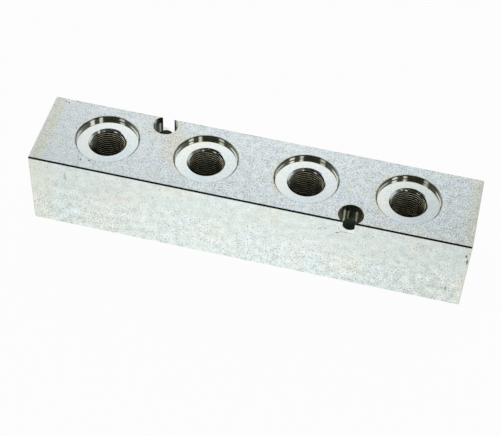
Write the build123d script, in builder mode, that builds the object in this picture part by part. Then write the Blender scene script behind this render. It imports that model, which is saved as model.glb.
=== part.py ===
from build123d import *
import math
import os

# Four-outlet hydraulic manifold: one machined steel bar, in millimetres.
# The origin is the middle of the underside, X runs along the bar and Z points up.

# Bar stock
block_length = 197.5
block_width = 40.0
block_height = 40.0
edge_break = 0.5  # chamfer on every outer edge
rim_break = 0.2  # fine chamfer left on the rim of each pocket and hole

# Outlet ports, G 3/8, in a row along the middle of the top
outlet_count = 4
outlet_pitch = 45.5
outlet_thread_major = 16.662
outlet_thread_minor = 14.950  # the drilled size that the tap leaves as its crest
outlet_spot_diameter = 28.0
outlet_spot_depth = 2.0
outlet_spot_corner = 0.3  # the cutter's bevelled corner, left around the floor
outlet_drill_past_gallery = 2.0  # how far the full diameter goes below the gallery's axis

# Inlet ports, G 1/2, one in each end of the bar
inlet_thread_major = 20.955
inlet_thread_minor = 18.631
inlet_spot_diameter = 34.0
inlet_spot_depth = 1.0
inlet_spot_corner = 0.2
inlet_drill_depth = 18.0  # full diameter, below the spot face

# Every thread has a countersunk mouth this much wider than its major diameter
mouth_clearance = 0.54
drill_point_angle = 118.0

# Gallery drilled right through the bar, which joins the inlets and the outlets
gallery_diameter = 13.0
gallery_depth = 20.0  # its axis below the top

# Fixing holes for M6 socket-head screws, at two diagonal places between the outlets
screw_clearance_diameter = 6.6
screw_head_diameter = 11.0
screw_head_depth = 6.4
screw_edge_distance = 4.8  # hole axis to the nearest side, so the head pocket breaks out of it

# How far the cutters stand out of the surface that they cut into
cutter_overrun = 1.0


def port_cutter(thread_major, thread_minor, spot_diameter, spot_depth, spot_corner, drill_depth):
    # The space that one port takes out of the bar: a spot face with its bevelled corner,
    # the countersunk mouth of the thread and the tap drill with its point.
    # It is turned from half its section about Z, with the face of the bar at Z = 0.
    spot_radius = spot_diameter / 2
    drill_radius = thread_minor / 2
    mouth_radius = (thread_major + mouth_clearance) / 2
    mouth_depth = mouth_radius - drill_radius
    drill_bottom = -spot_depth - drill_depth
    point_height = drill_radius / math.tan(math.radians(drill_point_angle / 2))

    with BuildPart() as cutter:
        with BuildSketch(Plane.XZ):
            with BuildLine():
                Polyline(
                    (0, cutter_overrun),
                    (spot_radius + rim_break + cutter_overrun, cutter_overrun),
                    (spot_radius, -rim_break),
                    (spot_radius, spot_corner - spot_depth),
                    (spot_radius - spot_corner, -spot_depth),
                    (mouth_radius, -spot_depth),
                    (drill_radius, -spot_depth - mouth_depth),
                    (drill_radius, drill_bottom),
                    (0, drill_bottom - point_height),
                    close=True,
                )
            make_face()
        revolve(axis=Axis.Z)
    return cutter.part


outlet_cutter = port_cutter(
    outlet_thread_major,
    outlet_thread_minor,
    outlet_spot_diameter,
    outlet_spot_depth,
    outlet_spot_corner,
    gallery_depth + outlet_drill_past_gallery - outlet_spot_depth,
)
inlet_cutter = port_cutter(
    inlet_thread_major,
    inlet_thread_minor,
    inlet_spot_diameter,
    inlet_spot_depth,
    inlet_spot_corner,
    inlet_drill_depth,
)

# Faces of the bar, each plane looking out of the metal
top = Plane.XY.offset(block_height)
gallery_height = block_height - gallery_depth
left_end = Plane((-block_length / 2, 0, gallery_height), x_dir=(0, 1, 0), z_dir=(-1, 0, 0))
right_end = Plane((block_length / 2, 0, gallery_height), x_dir=(0, 1, 0), z_dir=(1, 0, 0))

# Each screw stands midway between an end outlet and its neighbour
screw_x = (outlet_count / 2 - 1) * outlet_pitch
screw_y = block_width / 2 - screw_edge_distance
screw_places = [(screw_x, -screw_y), (-screw_x, screw_y)]
screw_hole_radius = screw_clearance_diameter / 2
screw_head_radius = screw_head_diameter / 2

with BuildPart() as manifold_block:
    # The sawn and milled bar with its edges broken
    with BuildSketch():
        Rectangle(block_length, block_width)
    extrude(amount=block_height)
    chamfer(manifold_block.edges(), length=edge_break)

    # The gallery, then the inlet in each end
    with Locations(right_end):
        Hole(gallery_diameter / 2)
    with Locations(left_end, right_end):
        add(inlet_cutter, mode=Mode.SUBTRACT)

    # The row of outlets
    with Locations(top):
        with GridLocations(outlet_pitch, outlet_pitch, outlet_count, 1):
            add(outlet_cutter, mode=Mode.SUBTRACT)

    # The two fixing holes, whose head pockets open into the sides
    with Locations(top):
        with Locations(*screw_places):
            CounterBoreHole(screw_hole_radius, screw_head_radius, screw_head_depth)
    with BuildSketch(top):
        with Locations(*screw_places):
            Circle(screw_head_radius + rim_break)
    extrude(amount=-rim_break, taper=45, mode=Mode.SUBTRACT)
    with BuildSketch(Plane.XY):
        with Locations(*screw_places):
            Circle(screw_hole_radius + rim_break)
    extrude(amount=rim_break, taper=45, mode=Mode.SUBTRACT)

manifold_block.part.label = "manifold_block"

os.makedirs("parts", exist_ok=True)
export_step(manifold_block.part, "parts/manifold_block.step")
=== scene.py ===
import math
import bpy
import bmesh
import numpy as np
from mathutils import Matrix, Vector


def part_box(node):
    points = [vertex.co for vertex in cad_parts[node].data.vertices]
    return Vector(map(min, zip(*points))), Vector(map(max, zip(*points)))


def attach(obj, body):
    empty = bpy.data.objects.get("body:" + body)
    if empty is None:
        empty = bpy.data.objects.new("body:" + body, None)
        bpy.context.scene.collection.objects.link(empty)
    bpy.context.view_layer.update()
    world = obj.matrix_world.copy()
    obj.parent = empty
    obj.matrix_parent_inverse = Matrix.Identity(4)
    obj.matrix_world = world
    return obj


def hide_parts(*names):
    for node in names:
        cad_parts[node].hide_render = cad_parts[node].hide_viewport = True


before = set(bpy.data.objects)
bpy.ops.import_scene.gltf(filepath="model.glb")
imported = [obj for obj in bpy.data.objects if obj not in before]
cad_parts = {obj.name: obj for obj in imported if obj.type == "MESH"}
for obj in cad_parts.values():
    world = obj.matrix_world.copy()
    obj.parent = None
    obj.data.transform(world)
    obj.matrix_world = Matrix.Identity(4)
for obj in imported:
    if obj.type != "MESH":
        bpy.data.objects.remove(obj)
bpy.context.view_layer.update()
scene = bpy.context.scene
scene.view_settings.view_transform = "Standard"
blockLow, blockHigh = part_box("manifold_block")
print("frame loaded, block", [round(s, 4) for s in blockHigh - blockLow])


def newMaterial(name):
    material = bpy.data.materials.new(name)
    material.use_nodes = True
    material.node_tree.nodes.clear()
    return material, material.node_tree


def addNode(tree, kind, inputs=None, **settings):
    # inputs: socket name or number -> a value, or another node's output socket
    node = tree.nodes.new(kind)
    for key, value in settings.items():
        setattr(node, key, value)
    for key, value in (inputs or {}).items():
        if isinstance(value, bpy.types.NodeSocket):
            tree.links.new(value, node.inputs[key])
        else:
            node.inputs[key].default_value = value
    return node


def calc(tree, operation, *values, clamp=False):
    return addNode(tree, "ShaderNodeMath", dict(enumerate(values)),
                   operation=operation, use_clamp=clamp).outputs[0]


def remap(tree, value, low, high, newLow=0.0, newHigh=1.0, smooth=True):
    node = addNode(tree, "ShaderNodeMapRange",
                   {"Value": value, "From Min": low, "From Max": high, "To Min": newLow, "To Max": newHigh},
                   interpolation_type="SMOOTHSTEP" if smooth else "LINEAR")
    return node.outputs[0]


def blendColor(tree, factor, first, second, mode="MIX"):
    node = tree.nodes.new("ShaderNodeMix")
    node.data_type, node.blend_type = "RGBA", mode
    for key, value in ((0, factor), (6, first), (7, second)):
        if isinstance(value, bpy.types.NodeSocket):
            tree.links.new(value, node.inputs[key])
        else:
            node.inputs[key].default_value = (*value, 1) if isinstance(value, tuple) else value
    return node.outputs[2]


def noise(tree, place, scale, detail=2.0, roughness=0.5, distortion=0.0):
    return addNode(tree, "ShaderNodeTexNoise",
                   {"Vector": place, "Scale": scale, "Detail": detail,
                    "Roughness": roughness, "Distortion": distortion}).outputs["Fac"]


def mixed(tree, factor, first, second):
    return addNode(tree, "ShaderNodeMix", {0: factor, 2: first, 3: second}).outputs[0]


def chain(tree, operation, values):
    total = values[0]
    for value in values[1:]:
        total = calc(tree, operation, total, value)
    return total


def addUp(tree, *values):
    return chain(tree, "ADD", values)


def product(tree, *values):
    return chain(tree, "MULTIPLY", values)


def most(tree, *values):
    return chain(tree, "MAXIMUM", values)


def vectorMath(tree, operation, first, second=None):
    inputs = {0: first} if second is None else {0: first, 1: second}
    return addNode(tree, "ShaderNodeVectorMath", inputs, operation=operation).outputs[0]


def splitAxes(tree, place):
    return addNode(tree, "ShaderNodeSeparateXYZ", {0: place}).outputs


def objectPlace(tree):
    return addNode(tree, "ShaderNodeTexCoord").outputs["Object"]


view = {
    "place": (0.07773, -0.40100, 0.48065),
    "lookAt": (0.00096, -0.01152, 0.02000),
    "roll": 3.115,          # degrees, anticlockwise
    "lens": 98.04,
}


def makeCamera():
    camera = bpy.data.objects.new("camera", bpy.data.cameras.new("camera"))
    scene.collection.objects.link(camera)
    camera.data.lens = view["lens"]
    camera.data.sensor_width = 36.0
    place = Vector(view["place"])
    aim = (Vector(view["lookAt"]) - place).to_track_quat("-Z", "Y").to_matrix().to_4x4()
    roll = Matrix.Rotation(math.radians(view["roll"]), 4, "Z")
    camera.matrix_world = Matrix.Translation(place) @ aim @ roll
    camera.data.clip_start, camera.data.clip_end = 0.01, 50.0
    scene.camera = camera


makeCamera()
print("camera set")


studio = {
    "floorSize": 4.0,
    "floorColor": (0.95, 0.95, 0.95),
    "floorWhite": 0.96,
    "glowInset": 0.0012,                # how far the floor's glow reaches in under the block
    "bandDistance": 1.6,
    "bandAzimuth": (-162.0, 152.0),    # from -Y, positive towards +X
    "bandElevation": (27.0, 66.0),
    # glow of the band, painted shade turning to painted light, from its middle in front of the block (0),
    # dim, round to straight behind it (1), near white
    "bandGlow": [(0.0, (0.026, 0.027, 0.015)), (0.05, (0.028, 0.030, 0.017)), (0.25, (0.065, 0.065, 0.052)),
                  (0.50, (0.100, 0.103, 0.090)), (0.72, (0.17, 0.18, 0.17)), (0.86, (0.25, 0.27, 0.27)),
                  (0.93, (0.58, 0.60, 0.61)), (0.97, (0.93, 0.95, 0.97)), (1.0, (0.95, 0.97, 0.99))],
    "lampDistance": 1.1,
    # each lamp: azimuth from -Y, elevation, diameter, power
    "lamps": [(34.5, 48.0, 0.16, 0.060), (-46.0, 48.0, 0.26, 0.115), (71.0, 48.0, 0.24, 0.16)],
}


def spherePoint(azimuth, elevation, distance):
    # azimuth measured from -Y towards +X, elevation above the floor
    return np.stack([distance * np.cos(elevation) * np.sin(azimuth),
                     -distance * np.cos(elevation) * np.cos(azimuth),
                     distance * np.sin(elevation)], -1)


def makeGrid(name, points, closed=False):
    # points: rows x columns x 3; each cell of the grid becomes one face
    rows, columns = points.shape[:2]
    last = columns if closed else columns - 1
    row, column = np.meshgrid(np.arange(rows - 1), np.arange(last), indexing="ij")
    nextColumn = (column + 1) % columns
    faces = np.stack([row * columns + column, row * columns + nextColumn,
                      (row + 1) * columns + nextColumn, (row + 1) * columns + column], -1).reshape(-1, 4)
    mesh = bpy.data.meshes.new(name)
    mesh.from_pydata(points.reshape(-1, 3), [], faces.tolist())
    return mesh


def makeWorld():
    world = bpy.data.worlds.new("studio")
    scene.world = world
    world.use_nodes = True
    tree = world.node_tree
    tree.nodes.clear()
    axes = splitAxes(tree, addNode(tree, "ShaderNodeTexCoord").outputs["Generated"])
    # near white, a little greyer towards +X
    tone = blendColor(tree, remap(tree, axes[0], -0.25, 0.50), (0.97, 0.985, 1.0), (0.60, 0.63, 0.66))
    light = addNode(tree, "ShaderNodeBackground", {"Color": tone, "Strength": 1.0})
    addNode(tree, "ShaderNodeOutputWorld", {"Surface": light.outputs[0]})


def makeFloor():
    floorMesh = bpy.data.meshes.new("floor")
    half = studio["floorSize"] / 2
    corners = [(-half, -half, 0), (half, -half, 0), (half, half, 0), (-half, half, 0)]
    floorMesh.from_pydata(corners, [], [(0, 1, 2, 3)])
    floor = bpy.data.objects.new("floor", floorMesh)
    scene.collection.objects.link(floor)
    material, tree = newMaterial("paleFloor")
    paint = addNode(tree, "ShaderNodeBsdfDiffuse", {"Color": (*studio["floorColor"], 1)})
    glow = addNode(tree, "ShaderNodeEmission", {"Color": (1, 1, 1, 1), "Strength": 1.0})
    path = addNode(tree, "ShaderNodeLightPath").outputs
    seen = calc(tree, "ADD", calc(tree, "ADD", path["Is Camera Ray"], path["Is Glossy Ray"]),
                path["Is Transmission Ray"], clamp=True)
    # white where camera and reflections see it, but not under the block, where no light comes
    axes = splitAxes(tree, objectPlace(tree))
    past = [calc(tree, "GREATER_THAN", calc(tree, "ABSOLUTE", axes[side]),
                 blockHigh[side] - studio["glowInset"]) for side in (0, 1)]
    share = product(tree, seen, most(tree, *past), studio["floorWhite"])
    surface = addNode(tree, "ShaderNodeMixShader", {0: share, 1: paint.outputs[0], 2: glow.outputs[0]})
    addNode(tree, "ShaderNodeOutputMaterial", {"Surface": surface.outputs[0]})
    material.cycles.emission_sampling = "NONE"
    floorMesh.materials.append(material)


def makeGlowBand():
    # a band round the front and sides, part of a sphere, that glows though it is no lamp: painted shade, dim
    # in front of the block, turning to painted light, near white, behind it; it is what the bored walls
    # reflect
    azimuth = np.radians(np.linspace(*studio["bandAzimuth"], 65))
    elevation = np.radians(np.linspace(*studio["bandElevation"], 13))
    up, around = np.meshgrid(elevation, azimuth, indexing="ij")
    mesh = makeGrid("glowBand", spherePoint(around, up, studio["bandDistance"]))
    band = bpy.data.objects.new("glowBand", mesh)
    scene.collection.objects.link(band)
    material, tree = newMaterial("glowBand")
    flat = vectorMath(tree, "NORMALIZE", vectorMath(tree, "MULTIPLY", objectPlace(tree), (1, 1, 0)))
    behind = remap(tree, splitAxes(tree, flat)[1], -1.0, 1.0, smooth=False)
    tone = addNode(tree, "ShaderNodeValToRGB", {0: behind})
    stops = tone.color_ramp.elements
    for place, color in studio["bandGlow"][1:-1]:
        stops.new(place)
    for stop, (place, color) in zip(stops, studio["bandGlow"]):
        stop.position, stop.color = place, (*color, 1)
    # the band's painted shade and light come from this emission
    glow = addNode(tree, "ShaderNodeEmission", {"Color": tone.outputs[0], "Strength": 1.0})
    addNode(tree, "ShaderNodeOutputMaterial", {"Surface": glow.outputs[0]})
    material.cycles.emission_sampling = "NONE"
    mesh.materials.append(material)
    band.visible_camera = False


def makeLamps():
    for number, (turn, rise, size, power) in enumerate(studio["lamps"]):
        lamp = bpy.data.lights.new("lamp%d" % (number + 1), "AREA")
        lamp.shape, lamp.size, lamp.energy = "DISK", size, power
        holder = bpy.data.objects.new(lamp.name, lamp)
        scene.collection.objects.link(holder)
        holder.location = spherePoint(math.radians(turn), math.radians(rise), studio["lampDistance"])
        holder.rotation_mode = "QUATERNION"
        holder.rotation_quaternion = (-holder.location).to_track_quat("-Z", "Y")


makeWorld()
makeFloor()
makeGlowBand()
makeLamps()
print("studio set")


block = {
    "portPitch": 0.0455,
    "portCount": 4,
    "portMajor": 0.016662, "portMinor": 0.014950, "portThreadPitch": 0.001337,
    "portFloor": 0.038, "portThreadLength": 0.0172,
    "inletMajor": 0.020955, "inletMinor": 0.018631, "inletThreadPitch": 0.001814,
    "inletFloor": 0.09775, "inletThreadLength": 0.0150,
    "spotRadius": 0.0142,               # with the fine chamfer of its rim
    "mouthRadius": 0.008601, "inletMouthRadius": 0.0107475,
    "axisHeight": 0.020, "galleryRadius": 0.0065,
    "edgeBreak": 0.0005,
    "screwPlace": (0.0455, -0.0152),    # and the same turned half round
    "screwPocketRadius": 0.0057,        # with the fine chamfer of its rim
    "segments": 96,
    "samplesPerTurn": 9,
    # the groove: flat share at crest and root, how far its flanks are rounded, turns over which it runs out
    "grooveFlat": 0.10, "grooveRound": 0.45, "grooveRunOut": 1.5,
    "tapAbove": 0.0006, "tapBelow": 0.0004, "tapInset": 0.00006,
}
middlePort = (block["portCount"] - 1) / 2
block["portPlaces"] = [(k - middlePort) * block["portPitch"] for k in range(block["portCount"])]


def makeTap(kind):
    # radius(angle, depth) = minor + groove depth * smooth wave(depth / pitch - angle / turn) * fade,
    # the axis runs down -Z from the origin, and the fade takes the groove out in the last turn and a half
    major, minor = block[kind + "Major"], block[kind + "Minor"]
    pitch, length = block[kind + "ThreadPitch"], block[kind + "ThreadLength"]
    rows = int(round((length + 2 * pitch) / pitch * block["samplesPerTurn"])) + 1
    depth = np.linspace(-block["tapAbove"], length + block["tapBelow"], rows)[:, None]
    angle = np.linspace(0, 2 * np.pi, block["segments"], endpoint=False)[None, :]
    phase = (-depth / pitch - angle / (2 * np.pi)) % 1.0
    triangle = 1 - np.abs(2 * phase - 1)
    wave = np.clip((triangle - block["grooveFlat"]) / (1 - 2 * block["grooveFlat"]), 0, 1)
    wave = wave * wave * (3 - 2 * wave) * block["grooveRound"] + wave * (1 - block["grooveRound"])
    fade = np.clip((length - depth) / (block["grooveRunOut"] * pitch), 0, 1)
    inside = minor / 2 - block["tapInset"]
    radius = inside + (major / 2 - inside) * wave * fade
    points = np.stack([radius * np.cos(angle), radius * np.sin(angle), -depth + 0 * angle], -1)
    mesh = makeGrid("tap", points[::-1], closed=True)
    work = bmesh.new()
    work.from_mesh(mesh)
    bmesh.ops.holes_fill(work, edges=[e for e in work.edges if e.is_boundary])
    bmesh.ops.recalc_face_normals(work, faces=work.faces)
    work.to_mesh(mesh)
    work.free()
    return mesh


def cutWith(piece, mesh, place):
    tap = bpy.data.objects.new("tap", mesh)
    scene.collection.objects.link(tap)
    mesh.transform(place)
    step = piece.modifiers.new("cut", "BOOLEAN")
    step.operation, step.solver, step.object = "DIFFERENCE", "EXACT", tap
    bpy.context.view_layer.update()
    finished = piece.evaluated_get(bpy.context.evaluated_depsgraph_get())
    cut = bpy.data.meshes.new_from_object(finished)
    piece.modifiers.clear()
    old, piece.data = piece.data, cut
    bpy.data.meshes.remove(old)
    bpy.data.objects.remove(tap)
    bpy.data.meshes.remove(mesh)


def makeBlock():
    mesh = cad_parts["manifold_block"].data.copy()
    mesh.name = "manifoldBlock"
    mesh.materials.clear()
    for leftOver in ("custom_normal", "sharp_edge", "sharp_face"):
        if leftOver in mesh.attributes:
            mesh.attributes.remove(mesh.attributes[leftOver])
    piece = bpy.data.objects.new("manifold_body", mesh)
    scene.collection.objects.link(piece)
    work = bmesh.new()
    work.from_mesh(mesh)
    bmesh.ops.remove_doubles(work, verts=work.verts, dist=1e-6)
    print("open edges after the merge:", sum(1 for e in work.edges if not e.is_manifold))
    work.to_mesh(mesh)
    work.free()
    for x in block["portPlaces"]:
        cutWith(piece, makeTap("port"), Matrix.Translation((x, 0, block["portFloor"])))
    for side in (-1, 1):
        # the tap's -Z is turned to point into the block
        turn = Matrix.Rotation(side * math.pi / 2, 4, "Y")
        place = Matrix.Translation((side * block["inletFloor"], 0, block["axisHeight"]))
        cutWith(piece, makeTap("inlet"), place @ turn)
    return piece


piece = makeBlock()
print("threads cut,", len(piece.data.polygons), "faces")
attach(piece, "root")
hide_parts("manifold_block")


finish = {
    "topCool": (0.755, 0.835, 0.885), "topWarm": (0.805, 0.855, 0.805), "topRoughness": 0.36,
    "sideColor": (0.775, 0.850, 0.805), "sideRoughness": 0.34,
    # painted shade: the front edge of the top is coloured dark for its dark reflection
    "edgeDark": (0.15, 0.15, 0.13), "edgeDarkRoughness": 0.09,
    "edgeLight": (0.66, 0.65, 0.58), "edgeLightRoughness": 0.38,
    "edgeShade": -0.75,                 # painted shade: how much the colour is darkened beside the front edge of the top
    "floorFront": (0.640, 0.740, 0.785), "floorBack": (0.890, 0.945, 0.905),
    "floorCream": (0.88, 0.86, 0.80), "floorLeft": (0.86, 0.86, 0.79),
    "floorRoughness": 0.10, "mouthRoughness": 0.16,
    "wallTones": ((0.72, 0.74, 0.66), (0.76, 0.74, 0.62)), "wallRoughness": 0.12,
    # painted shade on the pocket walls; the lighter colour is for streaks of painted reflection
    "pocketDark": (0.22, 0.23, 0.19), "pocketLight": (0.56, 0.57, 0.51), "pocketRoughness": 0.20,
    "pocketFloor": (0.88, 0.90, 0.82),
    "holeColor": (0.66, 0.76, 0.68), "holeRoughness": 0.55,
    # painted shade in the thread roots, painted highlights along the crests
    "rootTones": ((0.024, 0.029, 0.015), (0.029, 0.027, 0.014)),
    "crestTones": ((1.0, 0.98, 0.76), (0.98, 0.86, 0.60)),
    "threadRoughness": 0.32,
    "tan": (0.83, 0.80, 0.63), "brown": (0.50, 0.44, 0.31),
    "ringColor": (0.13, 0.125, 0.10), "rearColor": (0.45, 0.39, 0.34),
    "speck": (0.28, 0.29, 0.27), "pitColor": (0.08, 0.11, 0.12), "markColor": (0.14, 0.15, 0.15),
    # tan stains on top, by the screw pockets, left of the second port and at the front right:
    # centre, half sizes in millimetres, softness, strength
    "stains": [((-45.5, 14.0, 40.0), (7.5, 8.0, 9.0), 0.35, 0.6),
               ((-39.5, 5.0, 40.0), (4.5, 9.0, 9.0), 0.6, 1.0),
               ((45.5, -15.2, 40.0), (7.6, 6.6, 9.0), 0.2, 0.35),
               ((76.0, -18.5, 40.0), (26.0, 2.6, 9.0), 0.6, 0.45)],
    # pits on top: x, y, radius in millimetres
    "pits": [(-75.9, -15.0, 0.42), (-72.1, -14.6, 0.42), (-93.4, 17.5, 0.32), (-91.9, 17.3, 0.4),
             (-64.0, 17.6, 0.25), (-83.6, 2.8, 0.3), (-57.0, -14.5, 0.3), (-12.5, -16.5, 0.3)],
    # blotches on the sides: shift of the noise, where it starts and is full, strength, color
    "blotches": [((0.0, 0.0, 0.0), 0.50, 0.68, 0.50, (0.71, 0.83, 0.87)),
                 ((31.0, 7.0, 55.0), 0.52, 0.70, 0.45, (0.86, 0.83, 0.70)),
                 ((-47.0, 21.0, 13.0), 0.54, 0.72, 0.40, (0.84, 0.80, 0.79))],
    # marks on the front: centre, half sizes in millimetres, strength
    "marks": [((-82.0, -20.0, 32.0), (0.45, 1.0, 2.6), 0.35), ((91.3, -20.0, 10.0), (0.42, 1.0, 1.3), 0.8),
              ((97.0, -20.0, 33.8), (0.45, 1.0, 0.9), 1.0), ((97.8, -20.0, 30.2), (0.40, 1.0, 1.6), 1.0),
              ((33.2, -20.0, 32.6), (0.8, 1.0, 0.35), 0.6), ((35.6, -20.0, 33.4), (0.7, 1.0, 0.3), 0.5),
              ((41.0, -20.0, 32.2), (0.9, 1.0, 0.28), 0.9), ((42.3, -20.0, 33.6), (0.25, 1.0, 0.7), 0.5),
              ((45.6, -20.0, 33.3), (2.7, 1.0, 0.20), 0.7), ((41.5, -20.0, 35.2), (0.22, 1.0, 0.9), 0.5),
              ((43.0, -20.0, 33.2), (0.5, 1.0, 0.25), 0.6), ((98.0, -20.0, 35.6), (0.28, 1.0, 0.5), 0.6)],
}


def millimetres(tree):
    return vectorMath(tree, "MULTIPLY", objectPlace(tree), (1000.0, 1000.0, 1000.0))


def specks(tree, place, cell, radius, share):
    # one dot of the given radius in each cell of a Voronoi pattern, kept in a random share of the cells
    cells = addNode(tree, "ShaderNodeTexVoronoi", {"Vector": place, "Scale": 1 / cell}).outputs
    dot = remap(tree, cells["Distance"], 1.25 * radius / cell, 0.65 * radius / cell)
    lot = addNode(tree, "ShaderNodeSeparateColor", {0: cells["Color"]}).outputs[0]
    return calc(tree, "MULTIPLY", dot, calc(tree, "LESS_THAN", lot, share))


def patch(tree, place, centre, size, soft=0.5):
    # 1 inside an ellipsoid round centre, falling to 0 over the soft share of its radius
    away = vectorMath(tree, "DIVIDE", vectorMath(tree, "SUBTRACT", place, centre), size)
    away = addNode(tree, "ShaderNodeVectorMath", {0: away}, operation="LENGTH").outputs["Value"]
    return remap(tree, away, 1.0 + soft, 1.0 - soft)


def portPlace(tree, place):
    # distance from the nearest port's own axis, x wrapped to half a port pitch either side of it, and depth
    # under its floor; past the drilled ends, below the top, it is the inlet's axis, less the difference of
    # the two thread radii
    axes = splitAxes(tree, place)
    pitch = block["portPitch"] * 1000
    x = calc(tree, "WRAP", calc(tree, "SUBTRACT", axes[0], pitch / 2), pitch / 2, -pitch / 2)
    up = calc(tree, "SUBTRACT", axes[2], block["axisHeight"] * 1000)
    across = product(tree, axes[1], axes[1])
    fromPort = calc(tree, "SQRT", addUp(tree, product(tree, x, x), across))
    fromInlet = calc(tree, "SQRT", addUp(tree, product(tree, up, up), across))
    fromInlet = calc(tree, "SUBTRACT", fromInlet, (block["inletMinor"] - block["portMinor"]) * 500)
    along = calc(tree, "ABSOLUTE", axes[0])
    atEnd = product(tree, calc(tree, "GREATER_THAN", along, 79.5), calc(tree, "LESS_THAN", axes[2], 37.5))
    away = mixed(tree, atEnd, fromPort, fromInlet)
    depth = mixed(tree, atEnd, calc(tree, "SUBTRACT", block["portFloor"] * 1000, axes[2]),
                  calc(tree, "SUBTRACT", block["inletFloor"] * 1000, along))
    return x, away, depth, axes


def metal(tree, color, roughness, height=None, rise=0.00002):
    shader = addNode(tree, "ShaderNodeBsdfPrincipled",
                     {"Base Color": color, "Metallic": 1.0, "Roughness": roughness})
    if height is not None:
        bump = addNode(tree, "ShaderNodeBump", {"Height": height, "Strength": 1.0, "Distance": rise})
        tree.links.new(bump.outputs[0], shader.inputs["Normal"])
    addNode(tree, "ShaderNodeOutputMaterial", {"Surface": shader.outputs[0]})


def shade(tree, color, amount):
    # color times (1 + amount)
    factor = calc(tree, "ADD", amount, 1.0)
    grey = addNode(tree, "ShaderNodeCombineColor", {0: factor, 1: factor, 2: factor}).outputs[0]
    return blendColor(tree, 1.0, color, grey, "MULTIPLY")


def signed(tree, value, amount):
    # (value - 0.5) * amount, for a noise that runs from 0 to 1
    return product(tree, calc(tree, "SUBTRACT", value, 0.5), amount)


def plated(tree, color, roughness, grain, dots):
    # a slight bump: raised by the grain, sunk where the dots are
    metal(tree, color, roughness, calc(tree, "SUBTRACT", grain, product(tree, dots, 0.6)), 0.00001)


def wobbled(tree, place, scale, amount):
    # place moved by a colour noise, up to half the amount each way
    waves = addNode(tree, "ShaderNodeTexNoise", {"Vector": place, "Scale": scale, "Detail": 1.0})
    moved = vectorMath(tree, "SUBTRACT", waves.outputs["Color"], (0.5, 0.5, 0.5))
    return vectorMath(tree, "ADD", place, vectorMath(tree, "MULTIPLY", moved, (amount, amount, amount)))


def topFinish():
    # plated top: color * (1 + fine grain + clouds + drift, darker to the right and lighter to the left),
    # then tan stains at the ends, left of the ports and in the listed places, brown where they are deep,
    # a dark line round each spot face, painted shade beside the front edge, a brown line along the rear,
    # small dark specks and the larger pits
    material, tree = newMaterial("zincTop")
    place = millimetres(tree)
    x, away, depth, axes = portPlace(tree, place)
    # on top the distance is always from the port
    away = calc(tree, "SQRT", addUp(tree, product(tree, x, x), product(tree, axes[1], axes[1])))
    grain = noise(tree, place, 1.5, detail=3, roughness=0.7)
    cloud = noise(tree, place, 0.32, detail=3, roughness=0.6)
    drift = noise(tree, place, 0.045, detail=1)
    fall = addUp(tree, remap(tree, axes[0], 20.0, 98.0, 0.0, -0.13),
                 remap(tree, axes[0], -20.0, -98.0, 0.0, 0.11))
    back = remap(tree, axes[1], -20.0, 20.0, -0.03, 0.06, smooth=False)
    level = addUp(tree, signed(tree, grain, 2.5), signed(tree, cloud, 0.70), signed(tree, drift, 0.06),
                  fall, back)
    tint = noise(tree, vectorMath(tree, "ADD", place, (17.0, 40.0, 3.0)), 0.30, detail=4, roughness=0.75)
    color = blendColor(tree, remap(tree, tint, 0.36, 0.64), finish["topCool"], finish["topWarm"])
    color = shade(tree, color, level)

    leftEnd = product(tree, remap(tree, axes[0], -91.5, -95.0),
                      remap(tree, axes[0], -98.6, -96.5, 0.45, 1.0))
    rightEnd = remap(tree, axes[0], 91.0, 97.5)
    leftOfPort = remap(tree, calc(tree, "DIVIDE", x, away), -0.2, -0.95)
    halo = product(tree, leftOfPort, remap(tree, away, 18.0, 14.4),
                   calc(tree, "GREATER_THAN", axes[0], -46.0))
    stains = [product(tree, patch(tree, place, centre, size, soft), amount)
              for centre, size, soft, amount in finish["stains"]]
    stain = most(tree, product(tree, leftEnd, 0.95), product(tree, rightEnd, 0.9), product(tree, halo, 0.9),
                 *stains)
    patchy = remap(tree, noise(tree, place, 0.7, detail=4, roughness=0.75), 0.42, 0.60)
    stain = product(tree, stain, addUp(tree, product(tree, patchy, 0.75), 0.25))
    stained = shade(tree, finish["tan"], addUp(tree, signed(tree, grain, 2.0), fall))
    color = blendColor(tree, stain, color, stained)
    deep = product(tree, stain, remap(tree, noise(tree, place, 1.3, detail=3, roughness=0.7), 0.50, 0.64))
    color = blendColor(tree, product(tree, deep, 0.85), color, finish["brown"])

    ring = product(tree, remap(tree, away, 14.70, 14.46),
                   remap(tree, noise(tree, place, 0.15), 0.35, 0.6, 0.6, 1.0),
                   remap(tree, axes[1], -13.0, -3.0, 0.2, 1.0))
    color = blendColor(tree, ring, color, finish["ringColor"])
    # painted shade: a dark strip beside the front edge of the top
    color = shade(tree, color, remap(tree, axes[1], -19.30, -19.42, 0.0, finish["edgeShade"]))
    rear = product(tree, remap(tree, axes[1], 18.6, 19.6),
                   remap(tree, noise(tree, place, 0.5, detail=3), 0.45, 0.6))
    color = blendColor(tree, product(tree, rear, 0.75), color, finish["rearColor"])

    crowd = addUp(tree, remap(tree, noise(tree, place, 0.07, detail=2), 0.35, 0.7, 0.12, 0.45),
                  remap(tree, axes[0], 90.0, 96.0, 0.0, 0.45))
    dots = specks(tree, wobbled(tree, place, 2.0, 0.5), 1.15, 0.30, crowd)
    spots = most(tree, *[patch(tree, place, (pitX, pitY, 40.0), (radius, radius, 1.0))
                         for pitX, pitY, radius in finish["pits"]])
    color = blendColor(tree, product(tree, dots, 0.62), color, finish["speck"])
    color = blendColor(tree, product(tree, spots, 0.9), color, finish["pitColor"])
    rough = remap(tree, noise(tree, place, 0.6), 0.3, 0.7,
                  finish["topRoughness"] - 0.05, finish["topRoughness"] + 0.05)
    plated(tree, color, rough, grain, dots)
    return material


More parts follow.
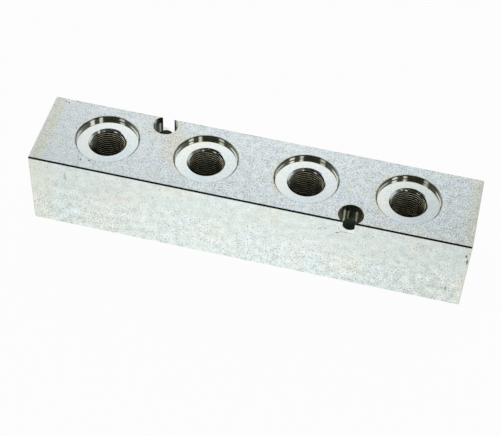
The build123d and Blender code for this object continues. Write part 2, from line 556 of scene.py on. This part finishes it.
def sideFinish():
    # plated sides: color * (1 + grain + clouds, both stronger low down, a little darker high up and to the
    # right), wide soft blotches of blue, cream and pink, tan at the ends, dark dots that crowd in the lower
    # half, the listed marks, and painted shade beside the top edge
    material, tree = newMaterial("zincSides")
    place = millimetres(tree)
    axes = splitAxes(tree, place)
    grain = noise(tree, place, 1.4, detail=3, roughness=0.7)
    cloud = noise(tree, place, 0.25, detail=3, roughness=0.6)
    low = noise(tree, place, 0.055, detail=2, distortion=0.4)
    middle = remap(tree, calc(tree, "ABSOLUTE", axes[0]), 20.0, 98.0, 0.06, -0.05)
    strength = remap(tree, axes[2], 30.0, 6.0, 0.72, 1.25)
    level = addUp(tree, product(tree, signed(tree, grain, 1.5), strength),
                  product(tree, signed(tree, cloud, 0.75), strength),
                  signed(tree, low, 0.12), middle, remap(tree, axes[2], 14.0, 34.0, -0.025, -0.075),
                  remap(tree, axes[0], 20.0, 70.0, 0.0, -0.035))
    color = shade(tree, finish["sideColor"], level)
    for offset, start, full, amount, tint in finish["blotches"]:
        moved = vectorMath(tree, "ADD", place, offset)
        wide = noise(tree, moved, 0.05, detail=4, roughness=0.6, distortion=0.6)
        mask = product(tree, remap(tree, wide, start, full), amount)
        color = blendColor(tree, mask, color, shade(tree, tint, level))
    ends = most(tree, remap(tree, axes[0], -84.0, -97.0), remap(tree, axes[0], 95.5, 98.0, 0.0, 0.9))
    ends = product(tree, ends, remap(tree, noise(tree, place, 0.7, detail=3, roughness=0.7), 0.35, 0.65))
    color = blendColor(tree, product(tree, ends, 0.6), color, finish["tan"])
    crowd = product(tree, remap(tree, axes[2], 36.0, 8.0, 0.10, 0.60), remap(tree, low, 0.35, 0.6, 0.35, 1.5))
    dots = specks(tree, wobbled(tree, place, 2.0, 0.5), 1.20, 0.33, crowd)
    color = blendColor(tree, product(tree, dots, 0.68), color, finish["speck"])
    marks = [product(tree, patch(tree, wobbled(tree, place, 1.5, 0.8), centre, size), amount)
             for centre, size, amount in finish["marks"]]
    color = blendColor(tree, most(tree, *marks), color, finish["markColor"])
    # painted shade: a dark strip beside the top edge of the sides
    color = shade(tree, color, remap(tree, axes[2], 39.30, 39.42, 0.0, finish["edgeShade"]))
    rough = remap(tree, cloud, 0.3, 0.7, finish["sideRoughness"] - 0.05, finish["sideRoughness"] + 0.05)
    plated(tree, color, rough, grain, dots)
    return material


def edgeFinish():
    # broken edges: smooth along the front of the top and painted dark there as painted shade, paler and
    # duller elsewhere, a little grain
    material, tree = newMaterial("zincEdges")
    place = millimetres(tree)
    axes = splitAxes(tree, place)
    grain = noise(tree, place, 1.0, detail=3)
    front = product(tree, calc(tree, "LESS_THAN", axes[1], -19.35),
                    calc(tree, "GREATER_THAN", axes[2], 39.35),
                    calc(tree, "LESS_THAN", calc(tree, "ABSOLUTE", axes[0]), 98.6))
    # painted shade on the front edge of the top
    color = blendColor(tree, front, finish["edgeLight"], finish["edgeDark"])
    rough = mixed(tree, front, finish["edgeLightRoughness"], finish["edgeDarkRoughness"])
    metal(tree, shade(tree, color, signed(tree, grain, 0.7)), rough)
    return material


def turnedFinish():
    # spot faces, mouths and pocket floors: rings round each port's axis, a noise of the distance from the
    # axis alone, lighter towards the back of each face, bluer towards its front and warmer to its left;
    # the mouths are duller and the deep pocket floors are cream
    material, tree = newMaterial("zincTurned")
    place = millimetres(tree)
    x, away, depth, axes = portPlace(tree, place)
    reach = addNode(tree, "ShaderNodeCombineXYZ", {0: away}).outputs[0]
    rings = noise(tree, reach, 1.6, detail=3, roughness=0.6)
    grain = noise(tree, place, 0.9, detail=2)
    drift = noise(tree, place, 0.10, detail=1)
    toBack = remap(tree, axes[1], -13.0, 13.0, smooth=False)
    color = blendColor(tree, toBack, finish["floorFront"], finish["floorBack"])
    color = blendColor(tree, remap(tree, drift, 0.35, 0.65, 0.0, 0.35), color, finish["floorCream"])
    color = blendColor(tree, remap(tree, x, 2.0, -13.0, 0.0, 0.55), color, finish["floorLeft"])
    color = blendColor(tree, remap(tree, depth, 3.0, 4.0), color, finish["pocketFloor"])
    level = addUp(tree, signed(tree, rings, 0.34), signed(tree, grain, 0.36), product(tree, x, -0.004),
                  remap(tree, axes[0], 40.0, 84.0, 0.0, -0.15), remap(tree, axes[0], -30.0, -80.0, 0.0, 0.10))
    rough = remap(tree, away, 8.7, 8.5, finish["floorRoughness"], finish["mouthRoughness"])
    metal(tree, shade(tree, color, level), rough, rings, 0.000003)
    return material


def wallFinish():
    # bored walls of the spot faces and the gallery: smooth, with faint marks round them, and painted shade:
    # a dark line under the rim at either side, a darkened rim, more so on its left, and darker deep inside
    material, tree = newMaterial("zincBored")
    place = millimetres(tree)
    x, away, depth, axes = portPlace(tree, place)
    marks = noise(tree, vectorMath(tree, "MULTIPLY", place, (0.25, 0.25, 1.5)), 0.8, detail=2)
    tone = noise(tree, place, 0.25, detail=2)
    color = blendColor(tree, remap(tree, tone, 0.35, 0.65), *finish["wallTones"])
    toSide = remap(tree, calc(tree, "ABSOLUTE", calc(tree, "DIVIDE", x, away)), 0.50, 0.75)
    # painted shade: a dark line under the rim at either side
    underRim = calc(tree, "ABSOLUTE", addUp(tree, depth, 1.55))
    line = product(tree, remap(tree, underRim, 0.24, 0.16), toSide, -0.7)
    # painted shade: darker deep inside, and along the rim, more on its left
    inside = remap(tree, depth, 3.0, 6.0, 0.0, -0.8)
    rim = product(tree, remap(tree, depth, -1.74, -1.80), remap(tree, x, -6.0, 8.0, -0.85, -0.62))
    level = addUp(tree, signed(tree, marks, 0.2), line, inside, rim)
    color = shade(tree, color, calc(tree, "MAXIMUM", level, -0.95))
    metal(tree, color, finish["wallRoughness"])
    return material


def pocketFinish():
    # screw holes and pockets: painted shade makes them dark, streaked up and down with lighter painted
    # reflections, the through holes below lighter
    material, tree = newMaterial("zincPocket")
    place = millimetres(tree)
    # painted reflections: lighter streaks up and down on the painted shade
    sheenStreaks = noise(tree, vectorMath(tree, "MULTIPLY", place, (1.2, 1.2, 0.12)), 1.0, detail=3)
    sheenStreaks = remap(tree, sheenStreaks, 0.35, 0.68)
    color = blendColor(tree, sheenStreaks, finish["pocketDark"], finish["pocketLight"])
    below = remap(tree, splitAxes(tree, place)[2], 33.7, 33.5)
    color = blendColor(tree, below, color, finish["holeColor"])
    metal(tree, color, mixed(tree, below, finish["pocketRoughness"], finish["holeRoughness"]))
    return material


def threadFinish():
    # tapped bores: painted shade in the roots, painted highlights along the crests, and painted shade darker
    # with depth under the spot face
    material, tree = newMaterial("zincThread")
    place = millimetres(tree)
    x, away, depth, axes = portPlace(tree, place)
    tone = remap(tree, noise(tree, place, 0.5, detail=3), 0.35, 0.65)
    # painted highlights on the crests, painted shade in the roots and with depth
    crest = remap(tree, away, 7.72, 7.50)
    deeper = remap(tree, depth, 2.0, 14.0, 0.0, -0.38)
    root = blendColor(tree, tone, *finish["rootTones"])
    light = blendColor(tree, tone, *finish["crestTones"])
    metal(tree, shade(tree, blendColor(tree, crest, root, light), deeper), finish["threadRoughness"])
    return material


# the finish of each face, in the order of the materials
finishes = {"top": topFinish, "sides": sideFinish, "edges": edgeFinish, "turned": turnedFinish,
            "walls": wallFinish, "threads": threadFinish, "pockets": pocketFinish}
top, sides, edges, turned, walls, threads, pockets = range(len(finishes))


def sortFaces(mesh):
    # each face's finish, from where its centre lies and how its normal leans
    count = len(mesh.polygons)
    centre, normal = np.empty(count * 3), np.empty(count * 3)
    mesh.polygons.foreach_get("center", centre)
    mesh.polygons.foreach_get("normal", normal)
    x, y, z = centre.reshape(-1, 3).T
    slope = np.abs(normal.reshape(-1, 3))
    near, slack, half = 2e-5, 1e-4, np.array(blockHigh)
    depth = np.stack([half[0] - np.abs(x), half[1] - np.abs(y), half[2] - z, z], -1)
    across = np.abs(x[:, None] - np.array(block["portPlaces"])).min(1)
    fromPort, fromGallery = np.hypot(across, y), np.hypot(y, z - block["axisHeight"])
    underTop, underEnd = half[2] - block["portFloor"], half[0] - block["inletFloor"]

    kind = np.full(count, walls)
    kind[(depth.min(1) < near) & (slope.max(1) > 0.99)] = sides
    kind[(depth[:, 2] < near) & (slope[:, 2] > 0.99)] = top
    kind[((depth < block["edgeBreak"] + near).sum(1) >= 2) & (slope.max(1) < 0.75)] = edges

    inBore = fromPort < block["mouthRadius"] + slack
    tapped = inBore & (z < block["portFloor"] - near) & (z > block["portFloor"] - block["portThreadLength"])
    tapped &= np.abs(fromGallery - block["galleryRadius"]) > 2 * slack
    endTapped = ((fromGallery < block["inletMouthRadius"] + slack) & (depth[:, 0] > underEnd + slack)
                 & (depth[:, 0] < underEnd + block["inletThreadLength"]))
    kind[tapped | endTapped] = threads

    spot = (np.abs(depth[:, 2] - underTop) < near) & (slope[:, 2] > 0.99) & (fromPort < block["spotRadius"])
    mouthFoot = block["portFloor"] - (block["mouthRadius"] - block["portMinor"] / 2)
    mouth = inBore & (z > mouthFoot - slack / 2) & (np.abs(slope[:, 2] - math.sqrt(0.5)) < 0.03)
    endSpot = (np.abs(depth[:, 0] - underEnd) < near) & (slope[:, 0] > 0.99)
    kind[spot | mouth | endSpot] = turned

    side = np.sign(x)
    fromScrew = np.hypot(x - side * block["screwPlace"][0], y - side * block["screwPlace"][1])
    kind[(fromScrew < block["screwPocketRadius"] + slack) & (kind == walls)] = pockets
    # a pocket's floor is turned too
    kind[(kind == pockets) & (slope[:, 2] > 0.99)] = turned
    return kind.astype(np.int32)


def dressBlock(piece):
    mesh = piece.data
    mesh.materials.clear()
    for makeFinish in finishes.values():
        mesh.materials.append(makeFinish())
    kind = sortFaces(mesh)
    mesh.polygons.foreach_set("material_index", kind)
    mesh.polygons.foreach_set("use_smooth", np.ones(len(mesh.polygons), bool))
    mesh.set_sharp_from_angle(angle=math.radians(30))
    # an edge between two thread faces stays smooth
    loopEdge = np.empty(len(mesh.loops), np.int32)
    loopCount = np.empty(len(mesh.polygons), np.int32)
    mesh.loops.foreach_get("edge_index", loopEdge)
    mesh.polygons.foreach_get("loop_total", loopCount)
    threadLoops = np.repeat(kind == threads, loopCount)
    onThread = np.bincount(loopEdge, weights=threadLoops, minlength=len(mesh.edges)) == 2
    sharp = np.empty(len(mesh.edges), bool)
    mesh.edges.foreach_get("use_edge_sharp", sharp)
    mesh.edges.foreach_set("use_edge_sharp", sharp & ~onThread)
    counts = np.bincount(kind, minlength=len(finishes)).tolist()
    print("faces of each finish:", dict(zip(finishes, counts)))


dressBlock(piece)
print("surfaces dressed")
